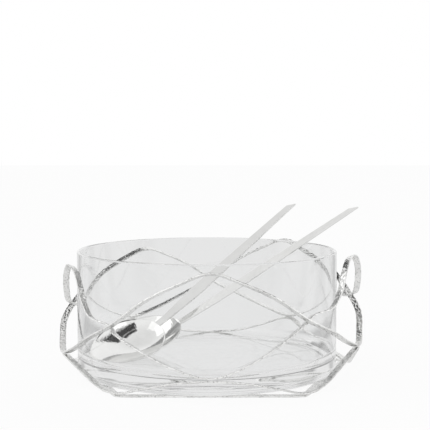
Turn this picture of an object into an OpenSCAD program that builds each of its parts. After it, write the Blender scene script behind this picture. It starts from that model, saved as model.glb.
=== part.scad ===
// Salad bowl: a clear straight-sided glass bowl that stands in a frame of flat hammered straps,
// with a serving spoon and a serving fork laid in it.
// The origin is on the table, on the axis of the frame. +X is right, +Y is the back, +Z is up.

/* [View] */
// Which piece to draw

/* [Glass bowl] */
// Outside diameter of the glass wall
glass_d = 250; // [200:1:300]
// Height of the glass from its foot to its rim
glass_h = 116.5; // [80:0.5:150]
// Thickness of the glass wall
glass_wall = 3; // [2:0.1:6]
// Thickness of the heavy glass floor
glass_floor = 13; // [5:0.5:20]
// Radius of the outer bottom corner
glass_corner_r = 7; // [3:0.5:12]
// Radius of the hollow between the wall and the floor inside
glass_hollow_r = 12; // [4:0.5:20]
// How far the glass stands to the left of the frame's axis
glass_offset = 4; // [0:0.5:5]

/* [Strap] */
// Width of the flat strap, measured outwards from the glass
strap_w = 6.5; // [4:0.1:10]
// Thickness of the strap
strap_t = 2; // [1.2:0.1:4]
// Bevel along the four edges of the strap
strap_bevel = 0.5; // [0.2:0.1:0.8]
// Gap between one soldered strap and the next
seat_gap = 0.3; // [0:0.1:0.5]

/* [Star band: peaks] */
// Gap between the glass and the peaks of the star band
peak_gap = 4; // [1:0.5:8]
// Level of the front peak
front_peak = 111; // [80:0.5:140]
// Level of the right handle's top
right_peak = 116.5; // [80:0.5:140]
// Level of the right back peak
back_right_peak = 117; // [80:0.5:140]
// Level of the left back peak
back_left_peak = 107.5; // [80:0.5:140]
// How far the left back peak leans towards the back, in degrees round the bowl
back_left_lean = 4; // [0:0.5:8]
// Level of the left handle's top
left_peak = 107.5; // [80:0.5:140]
// How far the peaks' outer edge is tilted up, in degrees
peak_tilt = 20; // [0:1:40]

/* [Star band: valleys] */
// How far the valleys stand out beyond the peaks
valley_flare = 12; // [0:0.5:20]
// Level of the front valley
front_valley = 22.5; // [12:0.5:50]
// Level of the right valley
right_valley = 33.5; // [12:0.5:50]
// Level of the right back valley
back_right_valley = 36; // [12:0.5:50]
// Level of the left back valley
back_left_valley = 35; // [12:0.5:50]
// Level of the left valley
left_valley = 27; // [12:0.5:50]
// How far the valleys' outer edge is tilted up, in degrees
valley_tilt = 10; // [0:1:40]
// How far the outer strap stands out where two straps cross beside a handle
cross_out = 6; // [0:0.5:6]

/* [Handles] */
// Half width of a handle, as an angle round the bowl
handle_half = 17; // [12:0.5:19]
// How far the legs of the right handle bulge out beyond the peaks
right_bulge = 9.5; // [4:0.5:20]
// How far the legs of the left handle bulge out beyond the peaks
left_bulge = 7.5; // [4:0.5:20]
// How far the top of a handle stands out beyond the peaks
handle_top_out = 5; // [0:0.5:15]
// Height of a handle's eye, from its hook to its top
handle_h = 46; // [30:1:60]

/* [Foot and base bands] */
// How far the feet stand out beyond the star band's valleys (less than 0 is inside them)
foot_flare = -4; // [-12:0.5:12]
// How far inside the star band's valleys the foot band is soldered to them
foot_band_in = 2; // [0:0.5:4]
// Thickness of the base band that lies on the table
base_t = 2; // [1.2:0.1:4]

/* [Servers] */
// Length of a server's head, from its neck to its tip
head_l = 88; // [60:1:110]
// Width of a server's head
head_w = 56; // [40:1:70]
// Depth of the dished head
head_deep = 12; // [6:0.5:20]
// Angle between the head and the handle
head_bend = 20; // [0:1:35]
// Thickness of a server's metal
server_t = 2; // [1.2:0.1:3]
// Length of a server's handle, from its neck to its end
server_l = 215; // [150:1:260]
// Width of the handle at the neck
neck_w = 7; // [5:0.5:10]
// Width of the handle at its widest
grip_w = 12; // [8:0.5:16]
// Width of the handle at its end
tail_w = 6.5; // [4:0.5:10]
// Slope of the cut across the handle's end
tail_cut = 8; // [0:0.5:15]
// Width of the three slots between the fork's tines
slot_w = 4; // [2:0.5:6]
// Length of the slots
slot_l = 34; // [15:1:50]

/* [Hidden] */
colour_glass = [0.86, 0.90, 0.90, 0.45];
colour_silver = [0.80, 0.80, 0.78];
lobes = 5;                                   // points of the star
lobe_step = 360 / lobes;
front_angle = -90;                           // the star has a peak and a valley at the front
glass_r = glass_d / 2;
glass_z = base_t;                            // the glass stands on the base band
rim_z = glass_z + glass_h;
peak_r = glass_r + peak_gap + strap_w / 2;
valley_r = peak_r + valley_flare;
foot_r = valley_r + foot_flare;
foot_z = base_t + seat_gap + strap_t / 2;    // the foot band is soldered to the base band here
peaks = [front_peak, right_peak, back_right_peak, back_left_peak, left_peak];
valleys = [front_valley, right_valley, back_right_valley, back_left_valley, left_valley];
handle_lobes = [1, 4];                       // the right and the left peak are bent out as handles
bulges = [0, right_bulge, 0, 0, left_bulge];
leans = [0, 0, 0, -back_left_lean, 0];       // how far each peak stands off its even place
arc_steps = 8;                               // straight pieces in a rounded corner of the glass
turn_facets = 128;                           // facets of a revolved piece
stub_size = 0.8;                             // size of a stub against the strap it reaches into
sweep_steps = 4;                             // straight pieces between two points of a strap's path

// ---- paths ----

// share of the way up from valley to peak, for t from 0 at the peak to 1 at the valley: the
// forged strap is broad at its peaks and flatter below its crossings
wave_steps = 6;
wave_step = lobe_step / wave_steps;
wave = [1, 0.885, 0.71, 0.45, 0.27, 0.10, 0];
right_slack = 0.97;                          // the front straps rise less on their way to a handle
left_slack = 0.83;
function rise(t) = lookup(t * wave_steps, [for (i = [0 : wave_steps]) [i, wave[i]]]);
function mix(a, b, s) = a + (b - a) * s;
function unit(v) = v / norm(v);
function at(angle, r, z) = [r * cos(angle), r * sin(angle), z];
function is_handle(lobe) = len(search(lobe, handle_lobes)) > 0;
function slack(lobe, valley) =
    valley > 0 || !is_handle(lobe) ? 1 : lobe == handle_lobes[0] ? right_slack : left_slack;

// a point of a strap's path: angle round the bowl, radius, level, tilt. An outer strap stands out
// round its crossing.
function star_point(peak_angle, d, lobe, valley, slack = 1) =
    let (up = slack * rise(abs(d) / lobe_step),
         outer = is_handle(valley),
         out = outer ? cross_out * max(0, 1 - pow((2 * abs(d) / lobe_step - 1) * 1.5, 2)) : 0)
    [peak_angle + d + leans[lobe] * (1 - abs(d) / lobe_step), mix(valley_r, peak_r, up) + out,
     mix(valleys[valley], peaks[lobe], up), mix(valley_tilt, peak_tilt, up)];

// the eye of a handle, from its hook (share 0) over the leg to near its top, on one side
function handle_points(peak_angle, side, lobe) = [
    for (p = [[1.76, 0.4, 1], [1.3, 0.9, 0.9], [1, 1, 0.63], [0.8, 0.95, 0.31], [0.47, 0.7, 0.08]])
    [peak_angle + side * handle_half * p[0], peak_r + bulges[lobe] * p[1],
     peaks[lobe] - handle_h * p[2], peak_tilt]
];

function reversed(list) = [for (i = [len(list) - 1 : -1 : 0]) list[i]];

// one lap of the star band, from a peak down to the next valley and up to the next peak
function star_pass(j) =
    let (
        a0 = front_angle + 2 * lobe_step * j,
        a1 = a0 + 2 * lobe_step,
        l0 = (2 * j) % lobes,
        lv = (l0 + 1) % lobes,
        l1 = (l0 + 2) % lobes,
        down = is_handle(l0)
            ? concat([[a0, peak_r + handle_top_out, peaks[l0], peak_tilt]],
                     reversed(handle_points(a0, 1, l0)))
            : [for (i = [0 : 2]) star_point(a0, i * wave_step, l0, lv)],
        low = [for (i = [3 : wave_steps]) star_point(a0, i * wave_step, l0, lv, slack(l0, lv))],
        low_up = [for (i = [1 - wave_steps : -3])
            star_point(a1, i * wave_step, l1, lv, slack(l1, lv))],
        up = is_handle(l1)
            ? handle_points(a1, -1, l1)
            : [for (i = [-2, -1]) star_point(a1, i * wave_step, l1, lv)]
    )
    concat(down, low, low_up, up);

// the foot band rises to the star band's valleys and comes down to a foot between them. Seen from
// above it runs straight from each valley to the next foot.
function foot_point(angle, d, lobe) =
    let (
        below = strap_t + seat_gap,
        top_r = valley_r - foot_band_in * cos(valley_tilt) + below * sin(valley_tilt),
        top_z = valleys[lobe] - foot_band_in * sin(valley_tilt) - below * cos(valley_tilt),
        s = 2 * abs(d) / lobe_step,
        up = pow(rise(s), foot_bends[lobe]),
        top = top_r * [1, 0],
        foot = foot_r * [cos(lobe_step / 2), sin(lobe_step / 2)],
        p = mix(top, foot, s)
    )
    [angle + (d < 0 ? -1 : 1) * atan2(p[1], p[0]), norm(p), mix(foot_z, top_z, up),
     mix(0, valley_tilt, up)];

// how sharply the foot band bends down from each valley: the front one is round, the sides drop fast
foot_bends = [0.7, 2, 1, 1, 2];

foot_path = [for (k = [0 : lobes - 1], i = [-2 : 3])
    foot_point(front_angle + lobe_step * k, i * wave_step, k)];

star_path = [for (j = [0 : lobes - 1]) each star_pass(j)];

// smooth curve through the path's points, in space, with the strap's tilt as a fourth value. It
// never dips below the lowest level.
function place(p) = [p[1] * cos(p[0]), p[1] * sin(p[0]), p[2], p[3]];
function spline(a, b, c, d, t) =
    (2 * b + (c - a) * t + (2 * a - 5 * b + 4 * c - d) * t * t
        + (3 * b - a - 3 * c + d) * t * t * t) / 2;
function smooth(path, lowest = 0) =
    let (n = len(path), pts = [for (p = path) place(p)])
    [for (i = [0 : n - 1], k = [0 : sweep_steps - 1])
        let (p = spline(pts[(i + n - 1) % n], pts[i], pts[(i + 1) % n], pts[(i + 2) % n],
                        k / sweep_steps))
        [p[0], p[1], max(lowest, p[2]), p[3]]];

// ---- swept strap ----

strap_half = [strap_w / 2, strap_t / 2];
strap_section = [
    [strap_half[0], strap_half[1] - strap_bevel], [strap_half[0] - strap_bevel, strap_half[1]],
    [-strap_half[0] + strap_bevel, strap_half[1]], [-strap_half[0], strap_half[1] - strap_bevel],
    [-strap_half[0], -strap_half[1] + strap_bevel], [-strap_half[0] + strap_bevel, -strap_half[1]],
    [strap_half[0] - strap_bevel, -strap_half[1]], [strap_half[0], -strap_half[1] + strap_bevel]
];

// the section's corners at point i of a closed curve: the width lies outwards, tilted up
function ring(curve, i, size = 1) =
    let (
        n = len(curve), p = curve[(i + n) % n], before = curve[(i + 2 * n - 1) % n], after = curve[(i + 1) % n],
        along = unit([for (c = [0:2]) after[c] - before[c]]),
        out = unit([p[0], p[1], 0]),
        wish = out * cos(p[3]) + [0, 0, sin(p[3])],
        wide = unit(wish - along * (wish * along)),
        thick = cross(wide, along)
    )
    [for (s = strap_section * size) [p[0], p[1], p[2]] + wide * s[0] + thick * s[1]];

function side_faces(rings, m, closed) =
    [for (i = [0 : rings - (closed ? 1 : 2)], k = [0 : m - 1])
        let (a = i * m + k, b = i * m + (k + 1) % m,
             c = ((i + 1) % rings) * m + (k + 1) % m, d = ((i + 1) % rings) * m + k)
        each [[a, b, c], [a, c, d]]];

// a piece of strap from point i0 to point i1 of a closed curve, with a stub at each end that
// reaches inside the next piece
module strap_piece(curve, i0, i1) {
    m = len(strap_section);
    rings = i1 - i0 + 3;
    points = [for (i = [i0 - 1 : i1 + 1]) each ring(curve, i, i < i0 || i > i1 ? stub_size : 1)];
    caps = [[for (k = [m - 1 : -1 : 0]) k], [for (k = [0 : m - 1]) (rings - 1) * m + k]];
    polyhedron(points, concat(side_faces(rings, m, false), caps), convexity = 8);
}

// ---- pieces ----

function arc(centre, r, from, to) =
    [for (i = [0 : arc_steps]) let (a = mix(from, to, i / arc_steps))
        centre + r * [cos(a), sin(a)]];

module glass_bowl() {
    lip = glass_wall / 2;
    color(colour_glass)
    translate([-glass_offset, 0, 0])
    rotate_extrude($fn = turn_facets)
    polygon(concat(
        [[0, floor_z], [0, glass_z]],
        arc([glass_r - glass_corner_r, glass_z + glass_corner_r], glass_corner_r, -90, 0),
        arc([glass_r - lip, rim_z - lip], lip, 0, 180),
        arc([inner_r - glass_hollow_r, floor_z + glass_hollow_r], glass_hollow_r, 0, -90)
    ));
}

// one closed strap that goes twice round the bowl and is soldered where it crosses itself
module star_band() {
    curve = smooth(star_path);
    sizes = [for (j = [0 : lobes - 1]) len(star_pass(j)) * sweep_steps];
    starts = [for (j = 0, at = 0; j <= lobes; at = at + (j < lobes ? sizes[j] : 0), j = j + 1) at];
    color(colour_silver)
    union()
    for (j = [0 : lobes - 1]) strap_piece(curve, starts[j], starts[j + 1]);
}

module foot_band() {
    curve = smooth(foot_path, foot_z);
    n = len(curve);
    color(colour_silver)
    polyhedron([for (i = [0 : n - 1]) each ring(curve, i)],
        side_faces(n, len(strap_section), true), convexity = 8);
}

// five straight sides from foot to foot, flat on the table, with rounded corners
module base_band() {
    corner = foot_r + strap_w / 2;
    side_w = strap_w / cos(180 / lobes);
    color(colour_silver)
    intersection() {
        rotate([0, 0, front_angle + lobe_step / 2])
        linear_extrude(base_t)
        difference() {
            circle(r = foot_r + side_w / 2, $fn = lobes);
            circle(r = foot_r - side_w / 2, $fn = lobes);
        }
        cylinder(r = corner - 1, h = base_t, $fn = turn_facets);
    }
}

// ---- servers ----
// In its own frame a server's neck is at the origin, its handle runs along +X and its hollow
// looks up.

head_steps = 22;
grip_steps = 14;
across_steps = 8;
neck_turn = 10;                              // length over which the neck bends

function spine_z(x) = tan(head_bend) * (sqrt(x * x + neck_turn * neck_turn) - x) / 2;
function head_share(x) = max(0, -x / head_l);
function head_half(x) = let (q = min(1, head_share(x)))
    head_w / 2 * pow(max(0, sin(180 * pow(q, 0.8))), 0.62);
function grip_half(x) = x < 0 ? neck_w / 2 * (1 - head_share(x)) :
    let (s = x / server_l, wide_at = 0.3)
    (s < wide_at ? mix(neck_w, grip_w, (1 - cos(180 * s / wide_at)) / 2)
                 : mix(grip_w, tail_w, (s - wide_at) / (1 - wide_at))) / 2;
function half_width(x) = pow(pow(head_half(x), 3) + pow(grip_half(x), 3), 1 / 3);
function sag(x) = head_deep * pow(max(0, sin(180 * pow(min(1, head_share(x)), 0.8))), 1.3);
server_x = concat(
    [for (i = [0 : head_steps - 1]) -head_l * (1 - pow(i / head_steps, 1.6)) * 0.998],
    [for (i = [0 : grip_steps]) server_l * i / grip_steps]);

// a point of the server's skin: x along, s across from -1 to 1, on the top or the underside
function skin(x, s, under) =
    let (cut = x > server_l - 1 ? -tail_cut / 2 * s : 0)
    [x + cut, half_width(x) * s, spine_z(x) - sag(x) * (1 - s * s) - (under ? server_t : 0)];

module server_blank() {
    m = 2 * (across_steps + 1);
    n = len(server_x);
    points = [for (x = server_x) each concat(
        [for (k = [0 : across_steps]) skin(x, 2 * k / across_steps - 1, false)],
        [for (k = [across_steps : -1 : 0]) skin(x, 2 * k / across_steps - 1, true)])];
    tail = (n - 1) * m;
    caps = [for (k = [0 : across_steps - 1]) each [
        [k + 1, k, m - 1 - k], [k + 1, m - 1 - k, m - 2 - k],
        [tail + k, tail + k + 1, tail + m - 1 - k],
        [tail + k + 1, tail + m - 2 - k, tail + m - 1 - k]
    ]];
    polyhedron(points, concat(side_faces(n, m, false), caps), convexity = 6);
}

// ---- how a server rests in the bowl ----
// The head's lower edge rests on the glass floor, its tip reaches towards the wall, and the handle
// leans over the rim.

edge_share = 0.82;                           // where along the head its lower edge rests
floor_z = glass_z + glass_floor;
inner_r = glass_r - glass_wall;
glass_axis = [-glass_offset, 0];

function rolled(p, roll) =
    [p[0], p[1] * cos(roll) - p[2] * sin(roll), p[1] * sin(roll) + p[2] * cos(roll)];
function sloped(p, slope) =
    [p[0] * cos(slope) - p[2] * sin(slope), p[1], p[0] * sin(slope) + p[2] * cos(slope)];
function headed(p, heading) =
    [p[0] * cos(heading) - p[1] * sin(heading), p[0] * sin(heading) + p[1] * cos(heading), p[2]];

// slope at which the handle leans on the rim, for an edge that rests at the place foot
function lean(foot, heading, roll, rim_gap) =
    let (
        edge = rolled(skin(-head_l * edge_share, -1, true), roll),
        along = foot * [cos(heading), sin(heading)],
        aside = foot * [-sin(heading), cos(heading)],
        up = rim_z - floor_z + rim_gap - seat_gap,
        rim_x = norm([glass_d, up]) - head_l * edge_share - norm(foot) / 3,
        rim = rolled(skin(rim_x, -1, true), roll),
        reach = sqrt(pow(glass_r - glass_wall / 2, 2) - pow(aside + rim[1] - edge[1], 2)) - along
    )
    atan2(up, reach) - asin((rim[2] - edge[2]) / norm([reach, up]));

// places of the head's skin, from which its clearance to the glass is measured
function head_skin(lay) = [
    for (q = [0.4 : 0.03 : 1], s = [-1, -0.85, -0.7, -0.5, 1])
    headed(sloped(rolled(skin(-head_l * q, s, true), lay[2]), lay[1]), lay[0])
];

// radius of the hollow glass at a height over its floor
function room_r(h) = h >= glass_hollow_r ? inner_r
    : inner_r - glass_hollow_r + sqrt(pow(glass_hollow_r, 2) - pow(glass_hollow_r - max(0, h), 2));

// how far a server moves along its heading until its head has the gap to the wall
function slide(foot, lay, wall_gap) =
    let (
        edge = headed(sloped(rolled(skin(-head_l * edge_share, -1, true), lay[2]), lay[1]), lay[0]),
        skins = head_skin(lay),
        low = min([for (p = skins) p[2]])
    )
    wall_gap + max([for (p = skins) norm([for (c = [0, 1]) p[c] + foot[c] - edge[c]])
                                    - room_r(p[2] - low)]);

// lays a server in the bowl: direction of its resting edge from the glass's axis, its heading,
// its roll, its head's gap to the wall and its handle's gap to the rim
module laid(edge_angle, heading, roll, wall_gap, rim_gap) {
    way = [cos(heading), sin(heading)];
    first = (inner_r - head_l * edge_in) * [cos(edge_angle), sin(edge_angle)];
    foot = first + slide(first, [heading, lean(first, heading, roll, rim_gap), roll], wall_gap) * way;
    lay = [heading, lean(foot, heading, roll, rim_gap), roll];
    place = foot + slide(foot, lay, wall_gap) * way + glass_axis;
    edge = headed(sloped(rolled(skin(-head_l * edge_share, -1, true), roll), lay[1]), heading);
    low = min([for (p = head_skin(lay)) p[2]]);
    neck = [place[0] - edge[0], place[1] - edge[1], floor_z + seat_gap - low];
    translate(neck) rotate([0, -lay[1], heading]) rotate([roll, 0, 0]) children();
}

edge_in = 0.375;                             // of the head's length, from the wall to the edge
spoon_lay = [207.4, 40.91, 29.72, 1.7, 1.7];      // as for the module laid
fork_lay = [183.6, 13.27, 27.28, 6.3, 2.2];

module serving_spoon() {
    color(colour_silver)
    laid(spoon_lay[0], spoon_lay[1], spoon_lay[2], spoon_lay[3], spoon_lay[4]) server_blank();
}

module serving_fork() {
    color(colour_silver)
    laid(fork_lay[0], fork_lay[1], fork_lay[2], fork_lay[3], fork_lay[4])
    difference() {
        server_blank();
        for (k = [-1 : 1])
            translate([-head_l - 1, k * head_w / 5 - slot_w / 2, -head_l])
            cube([slot_l + 1, slot_w, 2 * head_l]);
    }
}

glass_bowl();
star_band();
foot_band();
base_band();
serving_spoon();
serving_fork();
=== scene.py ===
"""Salad bowl: a clear straight-sided glass bowl in a frame of hammered straps, with a serving
spoon and a serving fork laid in it. The origin is on the table, +X right, +Y back, +Z up."""

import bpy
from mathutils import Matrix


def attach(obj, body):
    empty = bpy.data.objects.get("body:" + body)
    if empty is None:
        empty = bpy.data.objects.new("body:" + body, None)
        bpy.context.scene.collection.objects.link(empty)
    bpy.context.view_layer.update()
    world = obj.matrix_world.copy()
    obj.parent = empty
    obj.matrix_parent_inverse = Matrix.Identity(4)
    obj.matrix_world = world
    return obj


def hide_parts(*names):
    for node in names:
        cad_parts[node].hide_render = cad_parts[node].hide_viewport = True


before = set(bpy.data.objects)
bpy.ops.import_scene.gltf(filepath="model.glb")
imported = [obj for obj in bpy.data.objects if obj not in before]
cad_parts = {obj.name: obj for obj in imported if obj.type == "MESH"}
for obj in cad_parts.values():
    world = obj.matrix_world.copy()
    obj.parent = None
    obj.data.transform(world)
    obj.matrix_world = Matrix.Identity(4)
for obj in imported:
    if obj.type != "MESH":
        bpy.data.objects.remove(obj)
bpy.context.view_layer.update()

from math import atan2, cos, hypot, pi, radians, sin, sqrt, tan

import bmesh
import bpy
from mathutils import Euler, Matrix, Vector

bl_info = {
    "name": "Hammered salad bowl",
    "version": (1, 0, 0),
    "blender": (4, 5, 0),
    "location": "3D View > Sidebar > Salad bowl",
    "description": "Builds a glass salad bowl in a hammered strap frame, with its two servers",
    "category": "Object",
}

MM = 0.001
LOBES = 5
LOBE_STEP = 360 / LOBES
FRONT = -90.0


# ---- sizes and colours ----

class GlassBowlSettings(bpy.types.PropertyGroup):
    diameter: bpy.props.FloatProperty(
        name="Diameter", description="Outside diameter of the glass wall",
        default=0.250, unit="LENGTH")
    height: bpy.props.FloatProperty(
        name="Height", description="Height of the glass from its foot to its rim",
        default=0.1165, unit="LENGTH")
    wall: bpy.props.FloatProperty(
        name="Wall", description="Thickness of the glass wall", default=0.003, unit="LENGTH")
    floor: bpy.props.FloatProperty(
        name="Floor", description="Thickness of the heavy glass floor",
        default=0.013, unit="LENGTH")
    corner: bpy.props.FloatProperty(
        name="Corner", description="Radius of the outer bottom corner",
        default=0.007, unit="LENGTH")
    hollow: bpy.props.FloatProperty(
        name="Hollow", description="Radius of the hollow between the wall and the floor",
        default=0.012, unit="LENGTH")
    offset: bpy.props.FloatProperty(
        name="Offset", description="How far the glass stands to the left of the frame's axis",
        default=0.004, unit="LENGTH")
    colour: bpy.props.FloatVectorProperty(
        name="Colour", description="Tint of the clear glass", subtype="COLOR", size=4,
        min=0, max=1, default=(0.985, 0.99, 0.99, 1))


class StrapSettings(bpy.types.PropertyGroup):
    width: bpy.props.FloatProperty(
        name="Width", description="Width of the flat strap", default=0.0065, unit="LENGTH")
    thickness: bpy.props.FloatProperty(
        name="Thickness", description="Thickness of the strap", default=0.002, unit="LENGTH")
    bevel: bpy.props.FloatProperty(
        name="Bevel", description="Rounding of the strap's four edges",
        default=0.0005, unit="LENGTH")
    ring_step: bpy.props.FloatProperty(
        name="Ring step", description="Distance between two rings of the strap's mesh",
        default=0.0009, unit="LENGTH")
    dent_size: bpy.props.FloatProperty(
        name="Dent size", description="Distance from one hammer mark to the next",
        default=0.0028, unit="LENGTH")
    dent_depth: bpy.props.FloatProperty(
        name="Dent depth", description="Depth of a hammer mark", default=0.00029, unit="LENGTH")
    waver: bpy.props.FloatProperty(
        name="Waver", description="How far the forged edges waver", default=0.00035,
        unit="LENGTH")
    colour: bpy.props.FloatVectorProperty(
        name="Colour", description="Colour of the polished metal", subtype="COLOR", size=4,
        min=0, max=1, default=(0.90, 0.90, 0.89, 1))


class ServerSettings(bpy.types.PropertyGroup):
    head_length: bpy.props.FloatProperty(
        name="Head length", description="Length of a server's head", default=0.088,
        unit="LENGTH")
    head_width: bpy.props.FloatProperty(
        name="Head width", description="Width of a server's head", default=0.056,
        unit="LENGTH")
    head_depth: bpy.props.FloatProperty(
        name="Head depth", description="Depth of the dished head", default=0.012,
        unit="LENGTH")
    head_bend: bpy.props.FloatProperty(
        name="Head bend", description="Angle between the head and the handle",
        default=radians(20), subtype="ANGLE")
    thickness: bpy.props.FloatProperty(
        name="Thickness", description="Thickness of a server's metal", default=0.002,
        unit="LENGTH")
    handle_length: bpy.props.FloatProperty(
        name="Handle length", description="Length of a server's handle", default=0.215,
        unit="LENGTH")
    neck_width: bpy.props.FloatProperty(
        name="Neck width", description="Width of the handle at the neck", default=0.007,
        unit="LENGTH")
    grip_width: bpy.props.FloatProperty(
        name="Grip width", description="Width of the handle at its widest", default=0.012,
        unit="LENGTH")
    tail_width: bpy.props.FloatProperty(
        name="Tail width", description="Width of the handle at its end", default=0.0065,
        unit="LENGTH")
    tail_cut: bpy.props.FloatProperty(
        name="Tail cut", description="Slope of the cut across the handle's end",
        default=0.008, unit="LENGTH")
    slot_width: bpy.props.FloatProperty(
        name="Slot width", description="Width of the slots between the tines", default=0.004,
        unit="LENGTH")
    slot_length: bpy.props.FloatProperty(
        name="Slot length", description="Length of the slots between the tines",
        default=0.034, unit="LENGTH")
    dent_size: bpy.props.FloatProperty(
        name="Dent size", description="Distance from one hammer mark on the handle to the next",
        default=0.0036, unit="LENGTH")
    dent_depth: bpy.props.FloatProperty(
        name="Dent depth", description="Depth of a hammer mark on the handle",
        default=0.00012, unit="LENGTH")
    colour: bpy.props.FloatVectorProperty(
        name="Colour", description="Colour of the polished metal", subtype="COLOR", size=4,
        min=0, max=1, default=(0.86, 0.86, 0.85, 1))


class StageSettings(bpy.types.PropertyGroup):
    floor_width: bpy.props.FloatProperty(
        name="Floor width", description="Width of the pale floor", default=12.0, unit="LENGTH")
    camera_distance: bpy.props.FloatProperty(
        name="Camera distance", description="Distance from the bowl's axis to the camera",
        default=1.132, unit="LENGTH")
    camera_height: bpy.props.FloatProperty(
        name="Camera height", description="Height of the camera over the table",
        default=0.2375, unit="LENGTH")


# ---- shapes that follow a rule ----

# Lengths are in millimetres and angles in degrees. Lists by lobe start at the front and go round
# over the right.
STRAP_T, STRAP_W = 2.0, 6.5
SEAT_GAP = 0.3                              # air in a soldered joint between two bands
GLASS_R, PEAK_GAP = 125.0, 4.0
PEAK_R = GLASS_R + PEAK_GAP + STRAP_W / 2   # radius of the star band's middle line at a peak
VALLEY_R = PEAK_R + 12.0
FOOT_R = VALLEY_R - 4.0                     # radius of the foot band's five feet
PEAKS = [111.0, 116.5, 117.0, 107.5, 107.5]     # levels of the star band's peaks
VALLEYS = [22.5, 33.5, 36.0, 35.0, 27.0]        # levels of its valleys
LEANS = [0, 0, 0, -4.0, 0]                  # how far each peak stands off its even place
PEAK_TILT, VALLEY_TILT = 20.0, 10.0
CROSS_OUT, CROSS_SHARE = 6.0, 1.5           # how far, and over what stretch, a crossing bows out
WAVE = [1, 0.885, 0.71, 0.45, 0.27, 0.10, 0]    # the band's rise, from a peak down to a valley
POINT_STEP = 12                             # angle between two points of a band's path
CURVE_STEPS = 16                            # straight pieces between two points of a path

HANDLES = (1, 4)                            # the right and the left lobe are bent out as handles
HANDLE_HALF, HANDLE_TOP_OUT, HANDLE_H = 17.0, 5.0, 46.0
BULGES = {1: 9.5, 4: 7.5}                   # how far each handle bows out
SLACKS = {1: 0.97, 4: 0.83}                 # the front stretches rise less towards a handle
# one side of a handle's eye: shares of its half width, its bow and its height, from hook to top
HANDLE_LEG = [(1.76, 0.4, 1), (1.3, 0.9, 0.9), (1, 1, 0.63), (0.8, 0.95, 0.31),
              (0.47, 0.7, 0.08)]

FOOT_BENDS = [0.7, 2, 1, 1, 2]              # how sharply the foot band turns down at each valley
FOOT_BAND_IN = 2.0
BASE_T, BASE_CORNER_CUT, BASE_STEPS = 2.0, 1.0, 12
BASE_DENTS, BASE_WAVER = 0.6, 0.3           # the base band is worked more lightly than the others
FOOT_Z = BASE_T + SEAT_GAP + STRAP_T / 2


def mix(a, b, s):
    """The value a share s of the way from a to b."""
    return a + (b - a) * s


def rise(t):
    """Share of the way up from valley to peak, for t from 0 at the peak to 1 at the valley."""
    t = min(max(t, 0), 1) * (len(WAVE) - 1)
    i = min(int(t), len(WAVE) - 2)
    return mix(WAVE[i], WAVE[i + 1], t - i)


def star_point(angle, d, lobe, valley, slack=1.0):
    """A point of the star band, d degrees past a peak: angle, radius, level and tilt."""
    up = slack * rise(abs(d) / LOBE_STEP)
    out = CROSS_OUT * max(0, 1 - ((2 * abs(d) / LOBE_STEP - 1) * CROSS_SHARE) ** 2)
    return (angle + d + LEANS[lobe] * (1 - abs(d) / LOBE_STEP),
            mix(VALLEY_R, PEAK_R, up) + (out if valley in HANDLES else 0),
            mix(VALLEYS[valley], PEAKS[lobe], up), mix(VALLEY_TILT, PEAK_TILT, up))


def handle_points(angle, side, lobe):
    """The eye of a handle on one side, from its hook over the leg to near its top."""
    return [(angle + side * HANDLE_HALF * a, PEAK_R + BULGES[lobe] * b,
             PEAKS[lobe] - HANDLE_H * c, PEAK_TILT) for a, b, c in HANDLE_LEG]


def star_pass(j):
    """One lap of the star band, from a peak down to the next valley and up to the next peak."""
    a0 = FRONT + 2 * LOBE_STEP * j
    a1 = a0 + 2 * LOBE_STEP
    l0, lv, l1 = (2 * j) % LOBES, (2 * j + 1) % LOBES, (2 * j + 2) % LOBES
    slack0, slack1 = (SLACKS.get(lobe, 1.0) if lv == 0 else 1.0 for lobe in (l0, l1))
    if l0 in HANDLES:
        down = [(a0, PEAK_R + HANDLE_TOP_OUT, PEAKS[l0], PEAK_TILT)]
        down += handle_points(a0, 1, l0)[::-1]
    else:
        down = [star_point(a0, d, l0, lv) for d in range(0, 36, POINT_STEP)]
    low = [star_point(a0, d, l0, lv, slack0) for d in range(36, 84, POINT_STEP)]
    low += [star_point(a1, d, l1, lv, slack1) for d in range(-60, -24, POINT_STEP)]
    if l1 in HANDLES:
        up = handle_points(a1, -1, l1)
    else:
        up = [star_point(a1, d, l1, lv) for d in range(-24, 0, POINT_STEP)]
    return down + low + up


def foot_point(angle, d, lobe):
    """A point of the foot band, d degrees past a valley of the star band. The band is straight in
    plan from under the valley to the next foot."""
    below = STRAP_T + SEAT_GAP
    tilt = radians(VALLEY_TILT)
    top_r = VALLEY_R - FOOT_BAND_IN * cos(tilt) + below * sin(tilt)
    top_z = VALLEYS[lobe] - FOOT_BAND_IN * sin(tilt) - below * cos(tilt)
    s = 2 * abs(d) / LOBE_STEP
    up = rise(s) ** FOOT_BENDS[lobe]
    half = radians(LOBE_STEP / 2)
    x, y = mix(top_r, FOOT_R * cos(half), s), mix(0, FOOT_R * sin(half), s)
    side = -1 if d < 0 else 1
    return (angle + side * atan2(y, x) * 180 / pi, hypot(x, y), mix(FOOT_Z, top_z, up),
            mix(0, VALLEY_TILT, up))


def smooth_loop(path, lowest=0.0):
    """A smooth closed curve through a path's points, never under the lowest level: places and the
    strap's tilt."""
    points = [(r * cos(radians(a)), r * sin(radians(a)), z, tilt) for a, r, z, tilt in path]
    n = len(points)
    curve = []
    for i in range(n):
        a, b, c, d = (points[(i + k) % n] for k in (-1, 0, 1, 2))
        for k in range(CURVE_STEPS):
            t = k / CURVE_STEPS
            x, y, z, tilt = (
                (2 * q + (r - p) * t + (2 * p - 5 * q + 4 * r - s) * t * t
                 + (3 * q - p - 3 * r + s) * t ** 3) / 2 for p, q, r, s in zip(a, b, c, d))
            curve.append((x, y, max(lowest, z), tilt))
    return curve


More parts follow.
